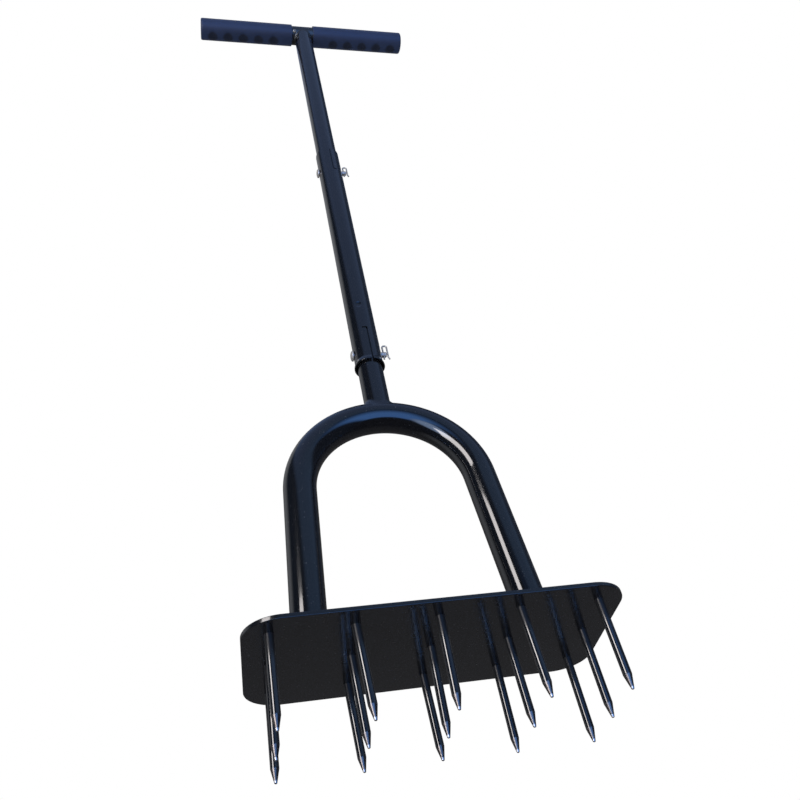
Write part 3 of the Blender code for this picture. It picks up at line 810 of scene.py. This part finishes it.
def leg_weld_mesh(name, foot, splay, width, ripples, depth):
    """The bead where a leg of the bow stands on the plate."""
    lean = math.radians(splay)
    axis = Vector((-math.sin(lean), 0, math.cos(lean)))
    reach = BOW_RADIUS / math.cos(lean)
    high, corner, low = [], [], []
    for a in turns(LEG_WELD_SIDES):
        wide = width * (1 + 0.10 * math.sin(3 * a + 0.5) + 0.06 * math.sin(7 * a))
        bed = foot + Vector((reach * math.cos(a), BOW_RADIUS * math.sin(a), 0))
        corner.append(bed)
        high.append(bed + axis * wide)
        low.append(foot + Vector(((reach + wide) * math.cos(a), (BOW_RADIUS + wide) * math.sin(a),
                                  -BEAD_SINK)))
    return fillet_weld(name, high, corner, low, ripples, depth)


def on_bow(x, y):
    """The height of the bow's upper side at a place near the pole."""
    across = ARCH_RADIUS + math.sqrt(BOW_RADIUS ** 2 - y ** 2)
    return ARCH_CENTRE_Z + math.sqrt(across ** 2 - (x - ARCH_CENTRE_X) ** 2)


def under_bar(x, y):
    """The height of the crossbar's lower side at a place near the pole, below its middle."""
    return -math.sqrt(BAR_RADIUS ** 2 - y ** 2)


def tube_weld_mesh(name, width, ripples, depth, surface, edge_y, up):
    """The bead where the pole meets a tube that crosses it."""
    high, corner, low = [], [], []
    for a in turns(POLE_WELD_SIDES):
        wide = width * (1 + 0.12 * math.sin(2 * a + 0.9) + 0.07 * math.sin(5 * a))
        x, y = STEM_RADIUS * math.cos(a), STEM_RADIUS * math.sin(a)
        y = max(-edge_y, min(edge_y, y))
        bed = Vector((x, y, surface(x, y)))
        out_x = (STEM_RADIUS + wide) * math.cos(a)
        out_y = max(-edge_y, min(edge_y, (STEM_RADIUS + wide) * math.sin(a)))
        corner.append(bed)
        high.append(bed + Vector((0, 0, up * wide)))
        low.append(Vector((out_x, out_y, surface(out_x, out_y))))
    return fillet_weld(name, high, corner, low, ripples, depth)


def handle_frame():
    """The place of the T-handle: its middle, with +X along the crossbar."""
    return Matrix.Translation((0, 0, HANDLE_HEIGHT)) @ Matrix.Rotation(math.radians(HANDLE_TURN), 4, "Z")


def pin_hole(height):
    """The cutter for a lock pin's hole through the pole."""
    return rod(PIN_RADIUS + GAP, (-2 * MIDDLE_RADIUS, 0, height), (2 * MIDDLE_RADIUS, 0, height))


def pole_tube(name, bottom, top, pin):
    """A plain tube of the pole, drilled for one of the lock pins."""
    tube = turned(name, tube_profile(STEM_RADIUS, STEM_WALL, bottom, top))
    return shaded(carved(tube, [pin_hole(PIN_HEIGHTS[pin])]))


def middle_tube_mesh():
    """The wide tube: flared foot, slits with cross notches at both ends, pin holes and a stop dimple."""
    inner = MIDDLE_RADIUS - MIDDLE_WALL
    flare_top = MIDDLE_FOOT + FLARE_HEIGHT
    profile = rounded([
        (MIDDLE_RADIUS, MIDDLE_TOP, EDGE),
        (MIDDLE_RADIUS, flare_top, FLARE_BEND),
        (FLARE_RADIUS, MIDDLE_FOOT + FLARE_RIM, FLARE_EASE),
        (FLARE_RADIUS, MIDDLE_FOOT, EDGE),
        (FLARE_RADIUS - MIDDLE_WALL, MIDDLE_FOOT, EDGE),
        (inner, flare_top, FLARE_EASE),
        (inner, MIDDLE_TOP, EDGE),
    ])
    cutters = [pin_hole(height) for height in PIN_HEIGHTS.values()]
    turn = Matrix.Rotation(math.radians(SLIT_TURN), 4, "Z")
    front, back = -2 * MIDDLE_RADIUS, -MIDDLE_RADIUS / 2
    for mouth, inward, side in ((MIDDLE_FOOT, 1, -1), (MIDDLE_TOP, -1, 1)):
        tip = mouth + inward * SLIT_LENGTH
        end = tip + inward * NOTCH_HEIGHT
        half = SLIT_WIDTH / 2
        across = sorted((-side * half, side * (NOTCH_WIDTH - half)))
        start = mouth - inward * OVERCUT
        cutters.append(slab((-half, front, min(start, tip)), (half, back, max(start, tip)), turn))
        cutters.append(slab((across[0], front, min(tip, end)), (across[1], back, max(tip, end)), turn))
    ball = [(DIMPLE_RADIUS * math.sin(a), DIMPLE_RADIUS * math.cos(a)) for a in turns(2 * SMALL_SIDES)]
    ball = [(0, DIMPLE_RADIUS), *ball[1:SMALL_SIDES], (0, -DIMPLE_RADIUS)]
    side = math.radians(DIMPLE_TURN)
    reach = MIDDLE_RADIUS + DIMPLE_RADIUS - DIMPLE_DEPTH
    place = Matrix.Translation((reach * math.sin(side), -reach * math.cos(side), DIMPLE_HEIGHT))
    cutters.append(turned("dimple", ball, TUBE_SIDES, place))
    return shaded(carved(turned("sleeve_tube", profile), cutters))


def smooth_least(first, second, blend):
    """The lesser of two numbers, with a smooth change from one to the other."""
    share = max(0.0, min(1.0, 0.5 + 0.5 * (second - first) / blend))
    return second + (first - second) * share - blend * share * (1 - share)


def grip_mesh(side, inner, depth):
    """A moulded grip with a closed outer end, and finger grooves underneath."""
    length = BAR_HALF - inner
    bore = BAR_RADIUS + GAP
    profile = rounded([
        (0, length, 0),
        (GRIP_RADIUS, length, GRIP_ROUND),
        (GRIP_RADIUS, 0, GRIP_LIP),
        (bore, 0, EDGE),
        (bore, length - GRIP_END, 0),
        (0, length - GRIP_END, 0),
    ])
    mesh = turned(f"{side}_moulded_grip", divided(profile, GRIP_STEP), TUBE_SIDES)
    for vertex in mesh.vertices:
        outside = math.hypot(vertex.co.x, vertex.co.y) > bore + GRIP_SKIN
        if vertex.co.x <= 0 or not outside:
            continue
        floor = 1.0
        for finger in range(FINGERS):
            along = BAR_HALF - FIRST_FINGER - finger * FINGER_PITCH - inner - vertex.co.z
            if abs(along) < FINGER_RADIUS:
                drop = GRIP_RADIUS + FINGER_RADIUS - depth - math.sqrt(FINGER_RADIUS ** 2 - along ** 2)
                floor = min(floor, drop)
        vertex.co.x = smooth_least(vertex.co.x, floor, FINGER_BLEND)
    turn = Matrix.Rotation(math.pi if side == "left" else 0.0, 4, "Z")
    lay = Matrix.Rotation(math.pi / 2, 4, "Y")
    mesh.transform(handle_frame() @ turn @ Matrix.Translation((inner, 0, 0)) @ lay)
    return shaded(mesh, 40.0)


def screw_mesh():
    """A small screw with a domed head and a cross recess, beside the stem."""
    below = math.radians(SCREW_BELOW_LEVEL)
    out = Vector((0, -math.cos(below), -math.sin(below)))
    seat = Vector((-SCREW_FROM_POLE, 0, 0)) + out * (BAR_RADIUS + GAP)
    place = handle_frame() @ Matrix.Translation(seat) @ out.to_track_quat("Z", "Y").to_matrix().to_4x4()
    profile = rounded([
        (0, SCREW_HEAD_HEIGHT, 0),
        (SCREW_DOME_RADIUS, SCREW_DOME_HEIGHT, SCREW_ROUND),
        (SCREW_HEAD_RADIUS, SCREW_RIM_HEIGHT, SCREW_RIM_ROUND),
        (SCREW_HEAD_RADIUS, 0, SCREW_SEAT_ROUND),
        (SCREW_SHANK_RADIUS, 0, 0),
        (SCREW_SHANK_RADIUS, -SCREW_LENGTH, SCREW_ROUND),
        (0, -SCREW_LENGTH, 0),
    ])
    floor, top = SCREW_HEAD_HEIGHT - CROSS_DEPTH, SCREW_HEAD_HEIGHT + CROSS_ABOVE
    cross = [slab((-x, -y, floor), (x, y, top), place)
             for x, y in ((CROSS_REACH, CROSS_HALF), (CROSS_HALF, CROSS_REACH))]
    return shaded(carved(turned("cross_screw", profile, SMALL_SIDES, place), cross))


def pin_mesh(name, height):
    """A turned lock pin: domed head on the left, chamfered tip and clip hole on the right."""
    seat = -(MIDDLE_RADIUS + GAP)
    rim = seat - PIN_HEAD_RIM
    profile = rounded([
        (0, PIN_TIP, 0),
        (PIN_RADIUS - PIN_CHAMFER, PIN_TIP, PIN_ROUND),
        (PIN_RADIUS, PIN_TIP - PIN_CHAMFER, EDGE),
        (PIN_RADIUS, seat, PIN_ROUND),
        (PIN_HEAD_RADIUS, seat, EDGE),
        (PIN_HEAD_RADIUS, rim, 0),
    ])
    profile += [(PIN_HEAD_RADIUS * math.cos(a), rim + (PIN_HEAD_RIM - PIN_HEAD_HEIGHT) * math.sin(a))
                for a in turns(SMALL_SIDES)[1:SMALL_SIDES // 4]]
    profile.append((0, seat - PIN_HEAD_HEIGHT))
    place = Matrix.Translation((0, 0, height)) @ Matrix.Rotation(math.pi / 2, 4, "Y")
    reach = 2 * PIN_RADIUS
    hole = rod(CLIP_WIRE + GAP, (CLIP_PLANE, 0, height - reach), (CLIP_PLANE, 0, height + reach))
    return shaded(carved(turned(name, profile, SMALL_SIDES, place), [hole]), 25.0)


def clip_line(height):
    """The hairpin's wire: a straight leg through the pin, a loop on top, and a leg past the pin's tip."""
    apart = PIN_TIP + CLIP_WIRE + CLIP_PLAY - CLIP_PLANE
    loop = apart / 2
    route = [(0, CLIP_FOOT), (0, 0), (0, CLIP_LOOP_CENTRE - loop)]
    route += [(loop - loop * math.cos(a), CLIP_LOOP_CENTRE + loop * math.sin(a)) for a in turns(12)[:7]]
    route += [(apart, CLIP_LOOP_CENTRE - loop), (apart, 0), (apart, -PIN_RADIUS)]
    route.append((apart + CLIP_FLARE, CLIP_FOOT))
    return curved([Vector((CLIP_PLANE + x, 0, height + z)) for x, z in route], 8)


def curved(points, steps):
    """A smooth line through points."""
    ends = [points[0] * 2 - points[1], *points, points[-1] * 2 - points[-2]]
    line = []
    for before, here, after, beyond in zip(ends, ends[1:], ends[2:], ends[3:]):
        for k in range(steps):
            t = k / steps
            line.append(0.5 * (2 * here + (after - before) * t
                               + (2 * before - 5 * here + 4 * after - beyond) * t * t
                               + (3 * here - before - 3 * after + beyond) * t ** 3))
    return [*line, points[-1]]


class AERATOR_OT_plate(bpy.types.Operator):
    """The flat steel plate, drilled for the spikes"""

    bl_idname = "aerator.plate"
    bl_label = "Plate"

    def execute(self, context):
        mesh = plate_mesh(context.scene.aerator_sizes.plate_round)
        plate = show("pressed_plate", mesh, "plate_enamel", ["spike_plate"])
        # In the photograph the light runs up the spikes to the plate, as if the plate took none of it
        plate.visible_glossy = False
        return {"FINISHED"}


class AERATOR_OT_spikes(bpy.types.Operator):
    """The fifteen spikes and the welds over their top ends"""

    bl_idname = "aerator.spikes"
    bl_label = "Spikes"

    def execute(self, context):
        sizes = context.scene.aerator_sizes
        places = list(spike_places())
        points = bpy.data.meshes.new("spike_set")
        points.from_pydata([(place.x, place.y, PLATE_MIDDLE) for _, _, place in places], [], [])
        lean = points.attributes.new("lean", "FLOAT_VECTOR", "POINT")
        for item, (column, row, _) in zip(lean.data, places):
            back, right = LEANS_BACK[row][column], LEANS_RIGHT[row][column]
            item.vector = (math.radians(back), -math.radians(right), 0)
        mesh = grown(spike_recipe(), points, {
            "Reach": PLATE_MIDDLE, "Top": PLATE_HIGH.z - PLATE_MIDDLE, "Radius": sizes.spike_radius,
            "Cone": sizes.spike_cone, "Point Radius": sizes.point_radius, "Point Round": SPIKE_POINT_ROUND,
            "Sides": SMALL_SIDES, "Finish": finish_named("spike_enamel")})
        mesh.shade_smooth()
        show("spike_set", mesh, "spike_enamel", spike_nodes("spike"))

        tops = bpy.data.meshes.new("spike_weld_set")
        tops.from_pydata([(place.x, place.y, PLATE_HIGH.z) for _, _, place in places], [], [])
        welds = grown(spike_weld_recipe(), tops, {
            "Radius": sizes.spike_weld, "Height": SPIKE_WELD_HEIGHT, "Lumps": SPIKE_WELD_LUMPS, "Seed": 4,
            "Finish": finish_named("stove_enamel")})
        welds.shade_smooth()
        show("spike_weld_set", welds, "stove_enamel", spike_nodes("spike_weld"))
        return {"FINISHED"}


class AERATOR_OT_bow(bpy.types.Operator):
    """The bent tube bow and the welds round its feet"""

    bl_idname = "aerator.bow"
    bl_label = "Bow"

    def execute(self, context):
        sizes = context.scene.aerator_sizes
        line = line_mesh("bent_bow", bow_line(PLATE_MIDDLE))
        mesh = grown(bent_tube_recipe(), line, {
            "Radius": BOW_RADIUS, "Sides": TUBE_SIDES, "Finish": finish_named("stove_enamel")})
        show("bent_bow", shaded(mesh, 40.0, even=False), "stove_enamel", ["u_frame"])
        feet = bow_line(PLATE_HIGH.z)
        for side, foot, splay in (("left", feet[0], -LEFT_SPLAY), ("right", feet[-1], RIGHT_SPLAY)):
            name = f"{side}_leg_bead"
            weld = leg_weld_mesh(name, foot, splay, sizes.leg_weld, sizes.ripples, sizes.ripple)
            show(name, weld, "stove_enamel", [f"{side}_leg_weld"])
        return {"FINISHED"}


class AERATOR_OT_pole(bpy.types.Operator):
    """The neck, the wide middle tube, the upper stem and the neck's weld"""

    bl_idname = "aerator.pole"
    bl_label = "Pole"

    def execute(self, context):
        sizes = context.scene.aerator_sizes
        neck = pole_tube("neck_tube", ARCH_CENTRE_Z + ARCH_RADIUS, NECK_TOP, "lower")
        show("neck_tube", neck, "stove_enamel", ["neck_stub"])
        show("sleeve_tube", middle_tube_mesh(), "stove_enamel", ["middle_tube"])
        stem = pole_tube("stem_tube", STEM_FOOT, HANDLE_HEIGHT, "upper")
        show("stem_tube", stem, "stove_enamel", ["upper_stem"])
        weld = tube_weld_mesh("neck_bead", sizes.neck_weld, sizes.ripples, sizes.ripple, on_bow,
                              NECK_BEAD_REACH, 1)
        show("neck_bead", weld, "stove_enamel", ["neck_weld"])
        return {"FINISHED"}


class AERATOR_OT_handle(bpy.types.Operator):
    """The crossbar, its weld and the small screw beside the stem"""

    bl_idname = "aerator.handle"
    bl_label = "Crossbar"

    def execute(self, context):
        sizes = context.scene.aerator_sizes
        half = BAR_HALF - GRIP_END - GAP
        place = handle_frame() @ Matrix.Rotation(math.pi / 2, 4, "Y")
        bar = turned("bar_tube", tube_profile(BAR_RADIUS, BAR_WALL, -half, half), TUBE_SIDES, place)
        show("bar_tube", shaded(bar), "bar_enamel", ["crossbar"])
        weld = tube_weld_mesh("bar_bead", sizes.bar_weld, sizes.ripples, sizes.ripple * 0.6, under_bar,
                              BAR_BEAD_REACH, -1)
        weld.transform(handle_frame())
        show("bar_bead", weld, "bar_enamel", ["crossbar_weld"])
        show("cross_screw", screw_mesh(), "screw_zinc", ["handle_screw"])
        return {"FINISHED"}


class AERATOR_OT_grips(bpy.types.Operator):
    """The two moulded grips with their finger grooves"""

    bl_idname = "aerator.grips"
    bl_label = "Grips"

    def execute(self, context):
        depth = context.scene.aerator_sizes.finger_depth
        for side, inner in (("left", LEFT_GRIP_INNER), ("right", RIGHT_GRIP_INNER)):
            mesh = grip_mesh(side, inner, depth)
            show(f"{side}_moulded_grip", mesh, "moulded_rubber", [f"{side}_grip"])
        return {"FINISHED"}


class AERATOR_OT_pins(bpy.types.Operator):
    """The two lock pins and their hairpin clips"""

    bl_idname = "aerator.pins"
    bl_label = "Lock pins"

    def execute(self, context):
        wire = bent_tube_recipe()
        for level, height in PIN_HEIGHTS.items():
            pin = pin_mesh(f"{level}_lock_pin", height)
            show(f"{level}_lock_pin", pin, "zinc_plating", [f"{level}_pin"], f"{level}_pin")
            clip = grown(wire, line_mesh(f"{level}_hairpin", clip_line(height)), {
                "Radius": CLIP_WIRE, "Sides": WIRE_SIDES, "Finish": finish_named("zinc_plating")})
            clip = shaded(clip, 50.0, even=False)
            show(f"{level}_hairpin", clip, "zinc_plating", [f"{level}_clip"], f"{level}_clip")
        return {"FINISHED"}


def add_lamp(name, place, aim, width, height, radiance, tint, in_gloss=False):
    """A rectangular lamp that faces a point: a soft one, or one that is only seen in the gloss."""
    light = bpy.data.lights.new(name, "AREA")
    light.shape = "RECTANGLE"
    light.size = width
    light.size_y = height
    light.energy = radiance * math.pi * width * height
    light.color = tint
    lamp = bpy.data.objects.new(name, light)
    bpy.context.scene.collection.objects.link(lamp)
    lamp.location = place
    lamp.rotation_mode = "QUATERNION"
    lamp.rotation_quaternion = (Vector(aim) - Vector(place)).to_track_quat("-Z", "Y")
    lamp.visible_camera = False
    lamp.visible_diffuse = not in_gloss
    lamp.visible_glossy = in_gloss


def studio_world():
    """White behind the object and a soft fill in front. The gloss sees a blue sky and dark sides."""
    world = bpy.data.worlds.new("studio")
    world.use_nodes = True
    world.node_tree.nodes.clear()
    nodes = Nodes(world.node_tree)
    toward = nodes.add("ShaderNodeTexCoord", output="Generated")
    height = nodes.part(toward, "Z")
    level = nodes.add("ShaderNodeVectorMath", {"operation": "MULTIPLY"}, {0: toward, 1: (1, 1, 0)})
    level = nodes.add("ShaderNodeVectorMath", {"operation": "NORMALIZE"}, {0: level})

    def near(vector, way, low, high):
        """0 where a direction is far from a way, and 1 where it is near it. The cosines say how near."""
        cosine = nodes.add("ShaderNodeVectorMath", {"operation": "DOT_PRODUCT"},
                           {0: vector, 1: way}, output="Value")
        return nodes.step(cosine, low, high)

    # Dark sides, pale behind on the left, blue overhead, and dark again behind on the right
    sky = nodes.tint(near(level, (-0.6, 0.8, 0), 0.60, 0.90), (0.010, 0.020, 0.040), (0.28, 0.29, 0.31))
    blue = nodes.tint(nodes.step(height, 0.45, 0.85), (0.12, 0.21, 0.38), (0.12, 0.18, 0.34))
    sky = nodes.tint(near(toward, (0.28, -0.243, 0.929), 0.60, 0.72), sky, blue)
    sky = nodes.tint(near(level, (0.75, 0.66, 0), 0.40, 0.80), sky, (0.03, 0.045, 0.08))
    # A bright blue band low in front, with a pale patch on its left
    band = (1 - nodes.step(height, -0.15, 0.50)) * nodes.step(height, -0.62, -0.52)
    band = band * near(level, (0.12, -0.993, 0), 0.86, 0.96)
    sky = nodes.tint(band, sky, (0.34, 0.92, 2.4))
    sky = nodes.tint(near(toward, (-0.52, -0.80, -0.30), 0.93, 0.98), sky, (1.3, 1.8, 2.8))
    # Dark straight below, and grey ground behind, which the plate's underside mirrors
    sky = nodes.tint(nodes.step(height, -0.85, -0.45), (0.01, 0.01, 0.011), sky)
    sky = nodes.tint(near(toward, (0.2, 0.98, -0.2), 0.2, 0.7), sky, (0.06, 0.06, 0.063))

    fill = nodes.tint(near(toward, (-0.2, -0.8, 0.5), -0.6, 0.8), (0.32, 0.32, 0.33), (0.66, 0.70, 0.80))
    path = nodes.tree.nodes.new("ShaderNodeLightPath")
    seen = Socket(nodes, path.outputs["Is Camera Ray"])
    gloss = Socket(nodes, path.outputs["Is Glossy Ray"])
    light = nodes.tint(seen, nodes.tint(gloss, fill, sky), (1.0, 1.0, 1.0))
    background = nodes.add("ShaderNodeBackground", values={"Color": light})
    nodes.add("ShaderNodeOutputWorld", values={"Surface": background})
    bpy.context.scene.world = world


def floor_finish(shade):
    """Pale floor that is clear from below, where the camera is, and to the lamps and the gloss."""
    material, nodes, _ = new_finish("studio_floor")
    matt = nodes.add("ShaderNodeBsdfDiffuse", values={"Color": colour(shade)})
    clear = nodes.add("ShaderNodeBsdfTransparent")
    path = nodes.tree.nodes.new("ShaderNodeLightPath")
    shadow = Socket(nodes, path.outputs["Is Shadow Ray"])
    gloss = Socket(nodes, path.outputs["Is Glossy Ray"])
    back = nodes.add("ShaderNodeNewGeometry", output="Backfacing")
    through = shadow.maths("MAXIMUM", shadow.maths("MAXIMUM", shadow, gloss), back)
    nodes.add("ShaderNodeOutputMaterial", values={
        "Surface": nodes.add("ShaderNodeMixShader", values={0: through, 1: matt, 2: clear})})
    return material


class AERATOR_OT_stage(bpy.types.Operator):
    """The camera, the floor, the lamps and the world"""

    bl_idname = "aerator.stage"
    bl_label = "Stage"

    def execute(self, context):
        scene = context.scene
        mesh = bpy.data.meshes.new("studio_floor")
        ring = [(FLOOR_RADIUS * math.cos(a), FLOOR_RADIUS * math.sin(a), -FLOOR_DROP) for a in turns(64)]
        mesh.from_pydata(ring, [], [tuple(range(len(ring)))])
        mesh.materials.append(floor_finish(scene.aerator_finishes.floor))
        floor = bpy.data.objects.new("studio_floor", mesh)
        scene.collection.objects.link(floor)

        studio_world()
        for name, lamp in SOFT_LAMPS.items():
            add_lamp(name, *lamp)
        add_lamp("window", *WINDOW_LAMP, in_gloss=True)

        data = bpy.data.cameras.new("photo_camera")
        data.sensor_width = SENSOR_WIDTH
        data.lens = FOCAL_LENGTH_IN_PIXELS / PICTURE_WIDTH * SENSOR_WIDTH
        data.shift_x, data.shift_y = CAMERA_SHIFT
        camera = bpy.data.objects.new("photo_camera", data)
        scene.collection.objects.link(camera)
        right = Vector(CAMERA_RIGHT).normalized()
        forward = Vector(CAMERA_FORWARD).normalized()
        up = right.cross(forward).normalized()
        turn = Matrix((right, up, -forward)).transposed().to_4x4()
        camera.matrix_world = Matrix.Translation(CAMERA_PLACE) @ turn
        scene.camera = camera
        scene.view_settings.view_transform = "Standard"
        return {"FINISHED"}


class AERATOR_PT_panel(bpy.types.Panel):
    """Lists the pieces, sizes and finishes"""

    bl_idname = "AERATOR_PT_panel"
    bl_label = "Lawn Aerator"
    bl_space_type = "VIEW_3D"
    bl_region_type = "UI"
    bl_category = "Aerator"

    def draw(self, context):
        column = self.layout.column(align=True)
        for piece in PIECES:
            column.operator(piece.bl_idname)
        for settings in (context.scene.aerator_sizes, context.scene.aerator_finishes):
            box = self.layout.box()
            for name in settings.__annotations__:
                box.prop(settings, name)


PIECES = (AERATOR_OT_stage, AERATOR_OT_plate, AERATOR_OT_spikes, AERATOR_OT_bow, AERATOR_OT_pole,
          AERATOR_OT_handle, AERATOR_OT_grips, AERATOR_OT_pins)
CLASSES = (AeratorSizes, AeratorFinishes, *PIECES, AERATOR_PT_panel)


def register():
    """Adds the add-on's classes and settings to Blender."""
    for item in CLASSES:
        bpy.utils.register_class(item)
    bpy.types.Scene.aerator_sizes = PointerProperty(type=AeratorSizes)
    bpy.types.Scene.aerator_finishes = PointerProperty(type=AeratorFinishes)


def unregister():
    """Takes them out again, in reverse order."""
    del bpy.types.Scene.aerator_finishes
    del bpy.types.Scene.aerator_sizes
    for item in reversed(CLASSES):
        bpy.utils.unregister_class(item)


def main():
    """Builds every piece through its operator."""
    register()
    for piece in PIECES:
        group, name = piece.bl_idname.split(".")
        getattr(getattr(bpy.ops, group), name)()


if __name__ == "__main__":
    main()
